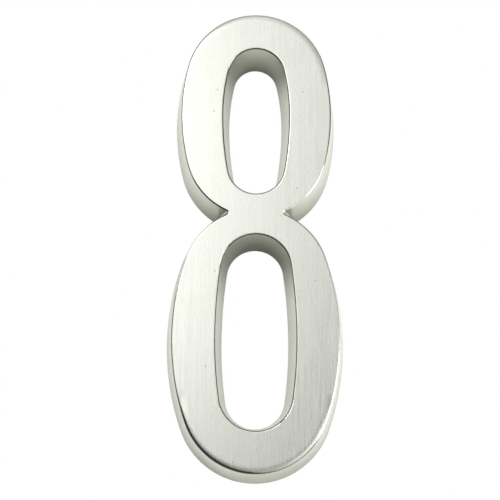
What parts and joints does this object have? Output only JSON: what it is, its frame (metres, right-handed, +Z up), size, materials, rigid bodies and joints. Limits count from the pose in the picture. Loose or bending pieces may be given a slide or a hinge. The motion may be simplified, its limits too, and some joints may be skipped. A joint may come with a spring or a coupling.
{
  "type": "house number",
  "caption": "Raised metal figure eight for a door or wall, with a flat brushed face, walls that flare to the back and tapped stud holes in the flat back.",
  "frame": {"origin": "on the flat back, midway between the two stud holes", "axes": "+Z up the figure as it is read, +Y out of the back towards the wall, +X to the reader's right"},
  "size_m": [0.0286, 0.01, 0.0759],
  "materials": {
    "satin_nickel": "satin nickel plate on die-cast zinc alloy, face brushed upright, walls and back left smooth"
  },
  "bodies": {
    "root": {"numeral": "satin_nickel"}
  },
  "joints": []
}
